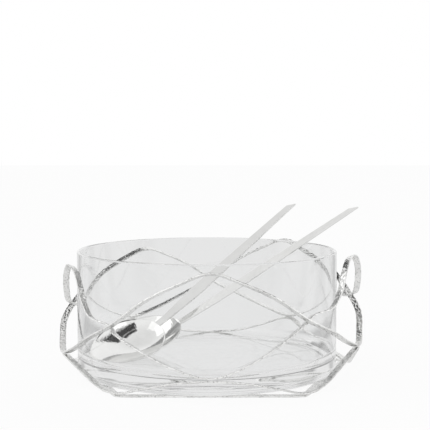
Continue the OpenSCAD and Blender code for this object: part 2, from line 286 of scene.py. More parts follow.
def loop_object(name, curve):
    """The closed curve as a line, in metres, that carries the direction of the strap's width."""
    mesh = bpy.data.meshes.new(name)
    n = len(curve)
    places = [Vector(p[:3]) for p in curve]
    mesh.from_pydata([p * MM for p in places], [(i, (i + 1) % n) for i in range(n)], [])
    wide = mesh.attributes.new("wide", "FLOAT_VECTOR", "POINT")
    for i, p in enumerate(places):
        along = (places[(i + 1) % n] - places[i - 1]).normalized()
        tilt = radians(curve[i][3])
        wish = Vector((p.x, p.y, 0)).normalized() * cos(tilt) + Vector((0, 0, sin(tilt)))
        wide.data[i].vector = (wish - along * along.dot(wish)).normalized()
    piece = bpy.data.objects.new(name, mesh)
    bpy.context.scene.collection.objects.link(piece)
    return piece


# ---- node trees ----

def socket_in(tree, name, kind, value=None):
    socket = tree.interface.new_socket(name=name, in_out="INPUT", socket_type=kind)
    if value is not None:
        socket.default_value = value
    return socket


def math_node(tree, operation, a, b=None, c=None, clamp=False):
    node = tree.nodes.new("ShaderNodeMath")
    node.operation = operation
    node.use_clamp = clamp
    for i, value in enumerate((a, b, c)):
        if value is None:
            continue
        if isinstance(value, (int, float)):
            node.inputs[i].default_value = value
        else:
            tree.links.new(value, node.inputs[i])
    return node.outputs[0]


def vector_node(tree, operation, a, b=None, scale=None):
    node = tree.nodes.new("ShaderNodeVectorMath")
    node.operation = operation
    for i, value in enumerate((a, b)):
        if value is None:
            continue
        if isinstance(value, (tuple, Vector)):
            node.inputs[i].default_value = value
        else:
            tree.links.new(value, node.inputs[i])
    if scale is not None:
        if isinstance(scale, (int, float)):
            node.inputs["Scale"].default_value = scale
        else:
            tree.links.new(scale, node.inputs["Scale"])
    return node.outputs["Value" if operation in {"LENGTH", "DOT_PRODUCT"} else "Vector"]


def geometry_tree(name, sizes):
    """A new geometry tree with sizes and a material as its named inputs."""
    tree = bpy.data.node_groups.new(name, "GeometryNodeTree")
    tree.interface.new_socket(name="Geometry", in_out="OUTPUT", socket_type="NodeSocketGeometry")
    socket_in(tree, "Geometry", "NodeSocketGeometry")
    for size, value in sizes.items():
        socket_in(tree, size, "NodeSocketFloat", value)
    socket_in(tree, "Material", "NodeSocketMaterial")
    return tree, tree.nodes.new("NodeGroupInput").outputs


def painted(tree, geometry, material):
    """Ends a geometry tree with real geometry in one material."""
    new, link = tree.nodes.new, tree.links.new
    real = new("GeometryNodeRealizeInstances")
    link(geometry, real.inputs["Geometry"])
    paint = new("GeometryNodeSetMaterial")
    link(real.outputs["Geometry"], paint.inputs["Geometry"])
    link(material, paint.inputs["Material"])
    link(paint.outputs["Geometry"], new("NodeGroupOutput").inputs["Geometry"])


DENT_SCATTER, DENT_REACH = 0.85, 0.62       # unevenness of the hammer marks, and share of a cell


def hammer_offset(tree, size, depth, seed, share=None):
    """Moves the skin inwards at each hammer mark: a round hollow in each cell of a pattern."""
    place = tree.nodes.new("GeometryNodeInputPosition").outputs[0]
    normal = tree.nodes.new("GeometryNodeInputNormal").outputs[0]
    cells = tree.nodes.new("ShaderNodeTexVoronoi")
    cells.feature = "F1"
    shifted = vector_node(tree, "ADD", place,
                          vector_node(tree, "SCALE", (1.7, 2.3, 3.1), scale=seed))
    tree.links.new(shifted, cells.inputs["Vector"])
    tree.links.new(math_node(tree, "DIVIDE", 1.0, size), cells.inputs["Scale"])
    cells.inputs["Randomness"].default_value = DENT_SCATTER
    far = math_node(tree, "DIVIDE", cells.outputs["Distance"], DENT_REACH)
    hollow = math_node(tree, "SUBTRACT", 1.0, math_node(tree, "MULTIPLY", far, far), clamp=True)
    push = math_node(tree, "MULTIPLY", hollow, depth)
    if share is not None:
        push = math_node(tree, "MULTIPLY", push, share)
    return vector_node(tree, "SCALE", normal, scale=math_node(tree, "MULTIPLY", push, -1.0))


EDGE_STEPS, SECTION_POINTS = 3, 32          # of the strap's section
WAVER_SCALE = 160.0                         # waves of the forged edges to a metre


def strap_tree():
    """Sweeps a rounded flat section along a closed line and hammers its skin."""
    tree, given = geometry_tree("Forged strap", {
        "Width": 0.0065, "Thickness": 0.002, "Bevel": 0.0005, "Ring step": 0.0009,
        "Dent size": 0.003, "Dent depth": 0.0003, "Waver": 0.0003, "Seed": 1.0})
    new, link = tree.nodes.new, tree.links.new

    line = new("GeometryNodeMeshToCurve")
    link(given["Geometry"], line.inputs["Mesh"])
    spaced = new("GeometryNodeResampleCurve")
    spaced.mode = "LENGTH"
    link(line.outputs["Curve"], spaced.inputs["Curve"])
    link(given["Ring step"], spaced.inputs["Length"])
    wide = new("GeometryNodeInputNamedAttribute")
    wide.data_type = "FLOAT_VECTOR"
    wide.inputs["Name"].default_value = "wide"
    turned = new("GeometryNodeSetCurveNormal")
    turned.mode = "FREE"
    link(spaced.outputs["Curve"], turned.inputs["Curve"])
    link(wide.outputs["Attribute"], turned.inputs["Normal"])

    section = new("GeometryNodeCurvePrimitiveQuadrilateral")
    link(given["Width"], section.inputs["Width"])
    link(given["Thickness"], section.inputs["Height"])
    rounded = new("GeometryNodeFilletCurve")
    rounded.mode = "POLY"
    rounded.inputs["Count"].default_value = EDGE_STEPS
    link(section.outputs["Curve"], rounded.inputs["Curve"])
    link(given["Bevel"], rounded.inputs["Radius"])
    outline = new("GeometryNodeResampleCurve")
    outline.mode = "COUNT"
    outline.inputs["Count"].default_value = SECTION_POINTS
    link(rounded.outputs["Curve"], outline.inputs["Curve"])

    swept = new("GeometryNodeCurveToMesh")
    link(turned.outputs["Curve"], swept.inputs["Curve"])
    link(outline.outputs["Curve"], swept.inputs["Profile Curve"])

    hammered = new("GeometryNodeSetPosition")
    link(swept.outputs["Mesh"], hammered.inputs["Geometry"])
    link(hammer_offset(tree, given["Dent size"], given["Dent depth"], given["Seed"]),
         hammered.inputs["Offset"])

    noise = new("ShaderNodeTexNoise")
    noise.inputs["Scale"].default_value = WAVER_SCALE
    noise.inputs["Detail"].default_value = 2.0
    link(vector_node(tree, "ADD", new("GeometryNodeInputPosition").outputs[0],
                     vector_node(tree, "SCALE", (5.1, 1.3, 2.7), scale=given["Seed"])),
         noise.inputs["Vector"])
    sway = math_node(tree, "MULTIPLY", noise.outputs[0], given["Waver"])
    wavered = new("GeometryNodeSetPosition")
    link(hammered.outputs["Geometry"], wavered.inputs["Geometry"])
    link(vector_node(tree, "SCALE", new("GeometryNodeInputNormal").outputs[0],
                     scale=math_node(tree, "MULTIPLY", sway, -1.0)), wavered.inputs["Offset"])

    painted(tree, wavered.outputs["Geometry"], given["Material"])
    return tree


def handle_tree():
    """Hammers the handle of a server and leaves its head smooth."""
    tree, given = geometry_tree("Hammered handle", {
        "Dent size": 0.0036, "Dent depth": 0.0001, "Seed": 4.0})
    new, link = tree.nodes.new, tree.links.new
    on_handle = new("GeometryNodeInputNamedAttribute")
    on_handle.data_type = "FLOAT"
    on_handle.inputs["Name"].default_value = "on_handle"
    hammered = new("GeometryNodeSetPosition")
    link(given["Geometry"], hammered.inputs["Geometry"])
    link(hammer_offset(tree, given["Dent size"], given["Dent depth"], given["Seed"],
                       on_handle.outputs["Attribute"]), hammered.inputs["Offset"])
    painted(tree, hammered.outputs["Geometry"], given["Material"])
    return tree


def grown(source, name, tree, values):
    """Runs a geometry tree on an object and returns its result as a plain mesh piece."""
    modifier = source.modifiers.new(tree.name, "NODES")
    modifier.node_group = tree
    for item in tree.interface.items_tree:
        if item.item_type == "SOCKET" and item.in_out == "INPUT" and item.name in values:
            modifier[item.identifier] = values[item.name]
    shape = source.evaluated_get(bpy.context.evaluated_depsgraph_get())
    mesh = bpy.data.meshes.new_from_object(shape)
    mesh.name = name
    source.modifiers.clear()
    bpy.data.objects.remove(source)
    piece = bpy.data.objects.new(name, mesh)
    bpy.context.scene.collection.objects.link(piece)
    outwards(mesh)
    return piece


def outwards(mesh):
    """Merges doubled points, turns the faces outwards and shades them smooth."""
    shape = bmesh.new()
    shape.from_mesh(mesh)
    bmesh.ops.remove_doubles(shape, verts=shape.verts, dist=1e-7)
    bmesh.ops.recalc_face_normals(shape, faces=shape.faces)
    for face in shape.faces:
        face.smooth = True
    shape.to_mesh(mesh)
    shape.free()
    mesh.update()


def carried(piece, node):
    """The piece stands for a CAD node, whose part it hides, and rides on the one body."""
    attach(piece, "root")
    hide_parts(node)


# ---- materials ----

# Directions are in degrees: round from the back over the right, and up from the table.

# black flags hung round the bowl, which all its metal mirrors: from and to round, from and to up
FLAGS = [(54, 142, 35, 53), (80, 142, 50, 60)]
# more black flags, which only the satin straps mirror and the polished servers don't
STRAP_FLAGS = [(-66, 2, 44, 84), (44, 140, 54, 86), (-36, -8, 22, 48)]
FLAG_SOFT, STRAP_FLAG_SOFT = 3, 4           # width of a flag's soft border
FLAG_BLACK = (0.012, 0.012, 0.012, 1)

# greys that clear glass shows behind it, from 0, black, to 1, white
THROUGH, SIDE_DARK, SIDE_PALE, HIGH_DARK = 0.80, 0.42, 1.0, 0.30
DARK_SIDES = [(28, 44, 4), (58, 72, 4), (100, 130, 8)]      # from, to and width of the border
PALE_SIDE = (76, 98, 8)
DARK_HIGH = (22, 56, 8)
THROWN = 3.5                                # mirrorings after which a ray leaves the glass
GLASS_IOR, GLASS_WAVES, GLASS_SMUDGE = 1.5, 0.00015, 0.035

# the floor: its own grey, its share of even light, the grey that metal mirrors, and the circle
# round the bowl that shows through the glass without sides
FLOOR_GREY, FLOOR_GLOW, FLOOR_MIRRORED = 0.95, 0.93, 0.82
FLOOR_CLEAR_R, FLOOR_CLEAR_SOFT = 0.15, 0.05


def new_material(name):
    material = bpy.data.materials.new(name)
    material.use_nodes = True
    tree = material.node_tree
    tree.nodes.clear()
    shader = tree.nodes.new("ShaderNodeBsdfPrincipled")
    out = tree.nodes.new("ShaderNodeOutputMaterial")
    tree.links.new(shader.outputs[0], out.inputs["Surface"])
    return material, tree, shader


WHITE = (1, 1, 1, 1)


def colour_mix(tree, factor, a, b):
    """Colour a where the factor is 0, and b where it is 1."""
    node = tree.nodes.new("ShaderNodeMix")
    node.data_type = "RGBA"
    tree.links.new(factor, node.inputs["Factor"])
    for name, value in (("A", a), ("B", b)):
        if isinstance(value, bpy.types.NodeSocket):
            tree.links.new(value, node.inputs[name])
        else:
            node.inputs[name].default_value = value
    return node.outputs["Result"]


def wear_and_shade_group():
    """Tarnish and handling marks on polished metal, with painted shade in the middle of some
    hammer marks: colour, roughness and the height of fine marks.
    """
    name = "Tarnished metal with dent shade"
    if name in bpy.data.node_groups:
        return bpy.data.node_groups[name]
    tree = bpy.data.node_groups.new(name, "ShaderNodeTree")
    socket_in(tree, "Colour", "NodeSocketColor", (0.8, 0.8, 0.79, 1))
    socket_in(tree, "Shade", "NodeSocketColor", (0.55, 0.55, 0.54, 1))
    for label, value in (("Roughness", 0.12), ("Roughness spread", 0.1), ("Mark size", 0.002),
                         ("Tarnish size", 0.02), ("Dent shade", 0.0)):
        socket_in(tree, label, "NodeSocketFloat", value)
    for label, kind in (("Colour", "NodeSocketColor"), ("Roughness", "NodeSocketFloat"),
                        ("Height", "NodeSocketFloat")):
        tree.interface.new_socket(name=label, in_out="OUTPUT", socket_type=kind)
    new, link = tree.nodes.new, tree.links.new
    given = new("NodeGroupInput").outputs
    out = new("NodeGroupOutput").inputs
    place = new("ShaderNodeTexCoord").outputs["Object"]

    # where the tarnish starts and is full, how much it shades and roughens, and the fine grain
    tarnish_from, tarnish_full, tarnish_shade = 0.38, 0.72, 0.35
    tarnish_rough, grain_rough, grain_height = 0.6, 0.4, 0.15
    tarnish = new("ShaderNodeTexNoise")
    link(place, tarnish.inputs["Vector"])
    link(math_node(tree, "DIVIDE", 1.0, given["Tarnish size"]), tarnish.inputs["Scale"])
    tarnish.inputs["Detail"].default_value = 5.0
    tarnish.inputs["Roughness"].default_value = 0.6
    cloud = new("ShaderNodeMapRange")
    link(tarnish.outputs[0], cloud.inputs["Value"])
    cloud.inputs["From Min"].default_value = tarnish_from
    cloud.inputs["From Max"].default_value = tarnish_full

    marks = new("ShaderNodeTexVoronoi")
    marks.feature = "F1"
    link(place, marks.inputs["Vector"])
    link(math_node(tree, "DIVIDE", 1.0, given["Mark size"]), marks.inputs["Scale"])
    dents = math_node(tree, "POWER", marks.outputs["Distance"], 2.0)
    grain = new("ShaderNodeTexNoise")
    link(place, grain.inputs["Vector"])
    link(math_node(tree, "DIVIDE", 6.0, given["Mark size"]), grain.inputs["Scale"])
    grain.inputs["Detail"].default_value = 3.0

    # painted shade in the middle of some of the marks, which stands in for the dark that hammered
    # metal mirrors in its hollows
    middle, unshaded_share = 0.45, 0.45
    deep = math_node(tree, "SUBTRACT", 1.0,
                     math_node(tree, "DIVIDE", marks.outputs["Distance"], middle), clamp=True)
    chosen = new("ShaderNodeSeparateColor")
    link(marks.outputs["Color"], chosen.inputs[0])
    shaded_mark = math_node(tree, "GREATER_THAN", chosen.outputs[0], unshaded_share)
    painted_dent_shade = math_node(tree, "MULTIPLY", math_node(tree, "MULTIPLY", deep, shaded_mark),
                     given["Dent shade"])
    # the tarnish darkens at random, and the painted shade in the marks is added on top
    tarnish_and_shade = math_node(tree, "MULTIPLY_ADD", cloud.outputs[0], tarnish_shade, painted_dent_shade, clamp=True)
    link(colour_mix(tree, tarnish_and_shade, given["Colour"], given["Shade"]), out["Colour"])
    uneven = math_node(tree, "ADD",
                       math_node(tree, "MULTIPLY", cloud.outputs[0], tarnish_rough),
                       math_node(tree, "MULTIPLY", grain.outputs[0], grain_rough))
    link(math_node(tree, "MULTIPLY_ADD", given["Roughness spread"], uneven, given["Roughness"]),
         out["Roughness"])
    link(math_node(tree, "MULTIPLY_ADD", grain.outputs[0], grain_height, dents), out["Height"])
    return tree


def metal_material(name, colour, shade, roughness, spread, mark_size, relief, dent_shade):
    """Tarnished metal with painted shade in some hammer marks. Where its roughness has no spread,
    it is the same all over the surface.
    """
    if name in bpy.data.materials:
        return bpy.data.materials[name]
    material, tree, shader = new_material(name)
    wear_and_shade = tree.nodes.new("ShaderNodeGroup")
    wear_and_shade.node_tree = wear_and_shade_group()
    wear_and_shade.inputs["Colour"].default_value = colour
    wear_and_shade.inputs["Shade"].default_value = shade
    wear_and_shade.inputs["Roughness"].default_value = roughness
    wear_and_shade.inputs["Roughness spread"].default_value = spread
    wear_and_shade.inputs["Mark size"].default_value = mark_size
    wear_and_shade.inputs["Dent shade"].default_value = dent_shade
    bump = tree.nodes.new("ShaderNodeBump")
    bump.inputs["Strength"].default_value = 1.0
    bump.inputs["Distance"].default_value = relief
    tree.links.new(wear_and_shade.outputs["Height"], bump.inputs["Height"])
    tree.links.new(wear_and_shade.outputs["Colour"], shader.inputs["Base Color"])
    if spread:
        tree.links.new(wear_and_shade.outputs["Roughness"], shader.inputs["Roughness"])
    else:
        shader.inputs["Roughness"].default_value = roughness
    tree.links.new(bump.outputs["Normal"], shader.inputs["Normal"])
    shader.inputs["Metallic"].default_value = 1.0
    return material


def glass_material(colour):
    """Clear heavy glass: faint tint, faint waves from the mould and a trace of smudges."""
    material, tree, shader = new_material("Clear glass")
    new, link = tree.nodes.new, tree.links.new
    place = new("ShaderNodeTexCoord").outputs["Object"]
    smudge = new("ShaderNodeTexNoise")
    link(place, smudge.inputs["Vector"])
    smudge.inputs["Scale"].default_value = 28.0
    smudge.inputs["Detail"].default_value = 4.0
    rough = new("ShaderNodeMapRange")
    link(smudge.outputs[0], rough.inputs["Value"])
    rough.inputs["From Min"].default_value = 0.45
    rough.inputs["From Max"].default_value = 0.8
    rough.inputs["To Min"].default_value = 0.0
    rough.inputs["To Max"].default_value = GLASS_SMUDGE
    link(rough.outputs[0], shader.inputs["Roughness"])
    waves = new("ShaderNodeTexNoise")
    link(place, waves.inputs["Vector"])
    waves.inputs["Scale"].default_value = 22.0
    waves.inputs["Detail"].default_value = 1.0
    bump = new("ShaderNodeBump")
    bump.inputs["Strength"].default_value = 1.0
    bump.inputs["Distance"].default_value = GLASS_WAVES
    link(waves.outputs[0], bump.inputs["Height"])
    link(bump.outputs["Normal"], shader.inputs["Normal"])
    link(colour_mix(tree, smudge.outputs[0], colour, WHITE), shader.inputs["Base Color"])
    shader.inputs["Transmission Weight"].default_value = 1.0
    shader.inputs["IOR"].default_value = GLASS_IOR
    # light that is thrown about inside the heavy floor leaves it before the renderer drops it
    path = new("ShaderNodeLightPath").outputs
    link(math_node(tree, "LESS_THAN", path["Glossy Depth"], THROWN), shader.inputs["Alpha"])
    return material


def through_glass(tree, path):
    """1 for a ray that comes out of the glass, also after it was thrown about inside."""
    return math_node(tree, "MAXIMUM", path["Is Transmission Ray"],
                     math_node(tree, "GREATER_THAN", path["Glossy Depth"], THROWN))


def band(tree, value, start, end, soft):
    """1 where an angle lies between start and end, in degrees, with soft borders."""
    away = math_node(tree, "ABSOLUTE",
                     math_node(tree, "SUBTRACT", value, radians(start + end) / 2))
    inside = math_node(tree, "SUBTRACT", radians(end - start) / 2, away)
    return math_node(tree, "DIVIDE", inside, radians(soft), clamp=True)


def any_of(tree, masks):
    """The strongest of several masks."""
    strongest = masks[0]
    for mask in masks[1:]:
        strongest = math_node(tree, "MAXIMUM", strongest, mask)
    return strongest


def seen_through(tree, around, share=1.0):
    """What glass shows: an even tone in front and behind, and darker and lighter sides, which
    draw its edges."""
    side = math_node(tree, "ABSOLUTE", around)
    dark = math_node(tree, "MULTIPLY", any_of(tree, [band(tree, side, *d) for d in DARK_SIDES]),
                     share)
    pale = math_node(tree, "MULTIPLY", band(tree, side, *PALE_SIDE), share)
    level = math_node(tree, "MULTIPLY_ADD", dark, SIDE_DARK - THROUGH, THROUGH)
    return math_node(tree, "MULTIPLY_ADD", pale, SIDE_PALE - THROUGH, level)


def by_ray(tree, direct, through, other):
    """A grey level for rays straight from the camera, for rays through glass and for the rest."""
    path = tree.nodes.new("ShaderNodeLightPath").outputs
    level = math_node(tree, "MULTIPLY_ADD", through_glass(tree, path),
                      math_node(tree, "SUBTRACT", through, other), other)
    return math_node(tree, "MAXIMUM", level,
                     math_node(tree, "MULTIPLY", path["Is Camera Ray"], direct))


def floor_material():
    """A pale table that keeps the bowl's soft shadow."""
    material, tree, shader = new_material("Pale floor")
    new, link = tree.nodes.new, tree.links.new
    shader.inputs["Base Color"].default_value = (FLOOR_GREY, FLOOR_GREY, FLOOR_GREY, 1)
    shader.inputs["Roughness"].default_value = 0.9
    shader.inputs["Specular IOR Level"].default_value = 0.0
    glow = new("ShaderNodeEmission")
    spot = new("ShaderNodeSeparateXYZ")
    link(new("ShaderNodeTexCoord").outputs["Object"], spot.inputs[0])
    x, y = spot.outputs["X"], spot.outputs["Y"]
    away = math_node(tree, "SQRT", math_node(tree, "ADD", math_node(tree, "MULTIPLY", x, x),
                                             math_node(tree, "MULTIPLY", y, y)))
    outside = math_node(tree, "DIVIDE", math_node(tree, "SUBTRACT", away, FLOOR_CLEAR_R),
                        FLOOR_CLEAR_SOFT, clamp=True)
    through = seen_through(tree, math_node(tree, "ARCTAN2", x, y), outside)
    link(by_ray(tree, 1.0, through, FLOOR_MIRRORED), glow.inputs["Strength"])
    path = new("ShaderNodeLightPath").outputs
    blend = new("ShaderNodeMixShader")
    link(math_node(tree, "MULTIPLY_ADD", path["Is Diffuse Ray"], -FLOOR_GLOW, FLOOR_GLOW),
         blend.inputs["Fac"])
    link(shader.outputs[0], blend.inputs[1])
    link(glow.outputs[0], blend.inputs[2])
    out = next(n for n in tree.nodes if n.type == "OUTPUT_MATERIAL")
    link(blend.outputs[0], out.inputs["Surface"])
    return material


# ---- operators ----

TURNS = 192                                 # facets round the glass


class GlassBowlOperator(bpy.types.Operator):
    """Build the clear glass bowl as one turned shape"""
    bl_idname = "salad_bowl.glass_bowl"
    bl_label = "Glass bowl"

    def execute(self, context):
        s = context.scene.salad_glass
        r, foot = s.diameter / 2, BASE_T * MM
        inner, floor, rim = r - s.wall, BASE_T * MM + s.floor, BASE_T * MM + s.height
        lip = s.wall / 2

        def arc(x, z, radius, start, end, steps):
            return [(x + radius * cos(radians(mix(start, end, i / steps))),
                     z + radius * sin(radians(mix(start, end, i / steps))))
                    for i in range(steps + 1)]

        near = 0.0003           # rings beside a corner, which keep its shading tight
        outline = [(0, foot), (r * 0.5, foot), (r - s.corner - near, foot)]
        outline += arc(r - s.corner, foot + s.corner, s.corner, -90, 0, 12)
        outline += [(r, foot + s.corner + near), (r, foot + s.height / 2), (r, rim - lip - near)]
        outline += arc(r - lip, rim - lip, lip, 0, 180, 12)
        outline += [(inner, rim - lip - near), (inner, floor + s.height / 2),
                    (inner, floor + s.hollow + near)]
        outline += arc(inner - s.hollow, floor + s.hollow, s.hollow, 0, -90, 14)
        outline += [(inner - s.hollow - near, floor), (r * 0.5, floor), (0, floor)]

        shape = bmesh.new()
        rings = []
        for x, z in outline:
            if x == 0:
                rings.append([shape.verts.new((-s.offset, 0, z))])
                continue
            rings.append([shape.verts.new((x * cos(2 * pi * k / TURNS) - s.offset,
                                           x * sin(2 * pi * k / TURNS), z))
                          for k in range(TURNS)])
        for a, b in zip(rings, rings[1:]):
            for k in range(TURNS):
                n = (k + 1) % TURNS
                if len(a) == 1:
                    shape.faces.new((a[0], b[n], b[k]))
                elif len(b) == 1:
                    shape.faces.new((a[k], a[n], b[0]))
                else:
                    shape.faces.new((a[k], a[n], b[n], b[k]))
        mesh = bpy.data.meshes.new("clear_glass_bowl")
        shape.to_mesh(mesh)
        shape.free()
        outwards(mesh)
        piece = bpy.data.objects.new("clear_glass_bowl", mesh)
        context.scene.collection.objects.link(piece)
        mesh.materials.append(glass_material(s.colour))
        carried(piece, "glass_bowl")
        return {"FINISHED"}


def forged(context, name, node, curve, seed, dents=1.0, waver=1.0):
    """A hammered strap along a closed curve, in place of its CAD node."""
    s = context.scene.salad_strap
    # the dent shade paints strong dark shade into the middle of some of the straps' fine hammer
    # marks
    metal = metal_material("Hammered strap metal", s.colour, shade=(0.42, 0.42, 0.415, 1),
                           roughness=0.045, spread=0.05, mark_size=0.0016, relief=0.00018,
                           dent_shade=1.5)
    tree = bpy.data.node_groups.get("Forged strap") or strap_tree()
    piece = grown(loop_object(name + "_line", curve), name, tree, {
        "Width": s.width, "Thickness": s.thickness, "Bevel": s.bevel, "Ring step": s.ring_step,
        "Dent size": s.dent_size, "Dent depth": s.dent_depth * dents,
        "Waver": s.waver * waver, "Seed": seed, "Material": metal})
    carried(piece, node)


class StarBandOperator(bpy.types.Operator):
    """Build the strap that goes twice round the bowl and forms its star and its two handles"""
    bl_idname = "salad_bowl.star_band"
    bl_label = "Star band"

    def execute(self, context):
        path = [point for j in range(LOBES) for point in star_pass(j)]
        forged(context, "hammered_star_band", "star_band", smooth_loop(path), 1.0)
        return {"FINISHED"}


class FootBandOperator(bpy.types.Operator):
    """Build the wavy strap that joins the star to the base"""
    bl_idname = "salad_bowl.foot_band"
    bl_label = "Foot band"

    def execute(self, context):
        path = [foot_point(FRONT + LOBE_STEP * k, d, k)
                for k in range(LOBES) for d in range(-24, 48, POINT_STEP)]
        forged(context, "hammered_foot_band", "foot_band", smooth_loop(path, FOOT_Z), 2.0)
        return {"FINISHED"}


class BaseBandOperator(bpy.types.Operator):
    """Build the five-sided strap that lies on the table"""
    bl_idname = "salad_bowl.base_band"
    bl_label = "Base band"

    def execute(self, context):
        half = pi / LOBES
        curve = []
        for k in range(LOBES):
            middle = radians(FRONT + LOBE_STEP * k)
            for i in range(-BASE_STEPS, BASE_STEPS):
                turn = half * i / BASE_STEPS
                r = min(FOOT_R * cos(half) / cos(turn), FOOT_R - BASE_CORNER_CUT)
                curve.append((r * cos(middle + turn), r * sin(middle + turn), BASE_T / 2, 0.0))
        forged(context, "hammered_base_band", "base_band", curve, 3.0, BASE_DENTS, BASE_WAVER)
        return {"FINISHED"}


# the rings of a server's mesh along its head and its handle, and its facets across and at an edge
HEAD_RINGS, HANDLE_RINGS, ACROSS, EDGE = 72, 200, 28, 3
NECK_TURN = 10.0                            # how softly the handle turns up at the neck
WIDE_AT, TAIL_FROM = 0.3, 0.93              # shares of the handle's length
HEAD_TIP, OUTLINE_FULL, HOLLOW_FULL = 0.8, 0.62, 1.3    # powers that shape the head
DENTS_FROM, DENTS_FULL = 6, 18              # where along the handle the hammer marks set in
SLOT_FLOOR, SLOT_TOP, SLOT_STEPS = -40, 80, 12


def server_mesh(s, name):
    """A server in its own frame: neck at the origin, handle along +X, hollow up. Millimetres."""
    head_l, head_w, deep = s.head_length / MM, s.head_width / MM, s.head_depth / MM
    long, thick, cut = s.handle_length / MM, s.thickness / MM, s.tail_cut / MM
    neck, grip, tail = s.neck_width / MM, s.grip_width / MM, s.tail_width / MM

    def spine(x):
        return tan(s.head_bend) * (sqrt(x * x + NECK_TURN * NECK_TURN) - x) / 2

    def share(x):
        return max(0.0, -x / head_l)

    def lens(x):
        return max(0.0, sin(pi * min(1, share(x)) ** HEAD_TIP))

    def handle_half(x):
        if x < 0:
            return neck / 2 * (1 - share(x))
        t = x / long
        if t < WIDE_AT:
            return mix(neck, grip, (1 - cos(pi * t / WIDE_AT)) / 2) / 2
        return mix(grip, tail, (t - WIDE_AT) / (1 - WIDE_AT)) / 2

    def half(x):
        return ((head_w / 2 * lens(x) ** OUTLINE_FULL) ** 3
                + max(0, handle_half(x)) ** 3) ** (1 / 3)

    ease = min(0.55, thick * 0.3)           # rounding of the four edges
    quarter = [pi / 2 * k / (EDGE + 1) for k in range(1, EDGE + 1)]
    stations = [-head_l * (1 - (i / HEAD_RINGS) ** 1.6) * 0.998 for i in range(HEAD_RINGS)]
    stations += [long * i / HANDLE_RINGS for i in range(HANDLE_RINGS + 1)]
    shape = bmesh.new()
    on_handle = shape.verts.layers.float.new("on_handle")
    rings = []
    for x in stations:
        w, sag = half(x), deep * lens(x) ** HOLLOW_FULL
        inset = max(w - ease, w * 0.4)
        bevel = min(ease, w * 0.5)
        # half of the section: the upper face, then the edge on the left; the lower face and the
        # edge on the right are the same, turned round
        ring = []
        for side, top, bottom in ((1, 0.0, -thick), (-1, -thick, 0.0)):
            ring += [(side * t, side * inset * t, top)
                     for t in (2 * k / ACROSS - 1 for k in range(ACROSS + 1))]
            ring += [(side, side * (inset + bevel * sin(a)), top - side * bevel * (1 - cos(a)))
                     for a in quarter]
            ring += [(side, side * (inset + bevel * sin(a)), bottom + side * bevel * (1 - cos(a)))
                     for a in reversed(quarter)]
        row = []
        for t, y, z in ring:
            slide = -cut / 2 * t * max(0, (x - long * TAIL_FROM) / (long * (1 - TAIL_FROM)))
            vert = shape.verts.new((x + slide, y, spine(x) - sag * (1 - t * t) + z))
            vert[on_handle] = min(1, max(0, (x - DENTS_FROM) / DENTS_FULL))
            row.append(vert)
        rings.append(row)
    m = len(rings[0])
    for a, b in zip(rings, rings[1:]):
        for k in range(m):
            n = (k + 1) % m
            shape.faces.new((a[k], a[n], b[n], b[k]))
    for row, turned in ((rings[0], False), (rings[-1], True)):
        shape.faces.new(row if turned else row[::-1])
    mesh = bpy.data.meshes.new(name)
    shape.to_mesh(mesh)
    shape.free()
    return mesh


def laid(mesh, neck, heading, slope, roll):
    """Puts a server's mesh in the bowl, and turns it from millimetres to metres."""
    turn = Euler((0, radians(-slope), radians(heading))).to_matrix().to_4x4()
    spin = Matrix.Rotation(radians(roll), 4, "X")
    mesh.transform(Matrix.Scale(MM, 4) @ Matrix.Translation(neck) @ turn @ spin)


def slot_cutters(s):
    """Three bars with a round end, which cut the slots between the fork's tines."""
    cutters = bmesh.new()
    for k in (-1, 0, 1):
        y, w = k * s.head_width / MM / 5, s.slot_width / MM / 2
        tip, end = -s.head_length / MM - 2, -s.head_length / MM + s.slot_length / MM
        loop = [(tip, y - w), (end - w, y - w)]
        loop += [(end - w + w * cos(a), y + w * sin(a))
                 for a in (-pi / 2 + pi * i / SLOT_STEPS for i in range(1, SLOT_STEPS))]
        loop += [(end - w, y + w), (tip, y + w)]
        low = [cutters.verts.new((px, py, SLOT_FLOOR)) for px, py in loop]
        high = [cutters.verts.new((px, py, SLOT_TOP)) for px, py in loop]
        cutters.faces.new(low[::-1])
        cutters.faces.new(high)
        for i in range(len(loop)):
            n = (i + 1) % len(loop)
            cutters.faces.new((low[i], low[n], high[n], high[i]))
    bmesh.ops.recalc_face_normals(cutters, faces=cutters.faces)
    mesh = bpy.data.meshes.new("slots")
    cutters.to_mesh(mesh)
    cutters.free()
    return mesh


def slotted(context, mesh, s):
    """The head's mesh with its slots cut."""
    blank = bpy.data.objects.new("slotted", mesh)
    cutter = bpy.data.objects.new("slots", slot_cutters(s))
    for piece in (blank, cutter):
        context.scene.collection.objects.link(piece)
    cut = blank.modifiers.new("Slots", "BOOLEAN")
    cut.operation = "DIFFERENCE"
    cut.object = cutter
    cut.solver = "EXACT"
    shape = blank.evaluated_get(context.evaluated_depsgraph_get())
    result = bpy.data.meshes.new_from_object(shape)
    for piece in (blank, cutter):
        bpy.data.objects.remove(piece)
    return result


def server(context, name, node, neck, lay, seed, slots=False):
    """A server laid in the bowl, with a polished head and a hammered handle."""
    s = context.scene.salad_server
    mesh = server_mesh(s, name + "_blank")
    if slots:
        mesh = slotted(context, mesh, s)
    laid(mesh, neck, *lay)
    blank = bpy.data.objects.new(name + "_blank", mesh)
    context.scene.collection.objects.link(blank)
    # the dent shade paints a faint shade into the middle of some fine marks all over the server
    metal = metal_material("Polished server metal", s.colour, shade=(0.66, 0.66, 0.65, 1),
                           roughness=0.0, spread=0.0, mark_size=0.0022, relief=0.00003,
                           dent_shade=0.15)
    tree = bpy.data.node_groups.get("Hammered handle") or handle_tree()
    piece = grown(blank, name, tree, {
        "Dent size": s.dent_size, "Dent depth": s.dent_depth, "Seed": seed,
        "Material": metal})
    carried(piece, node)


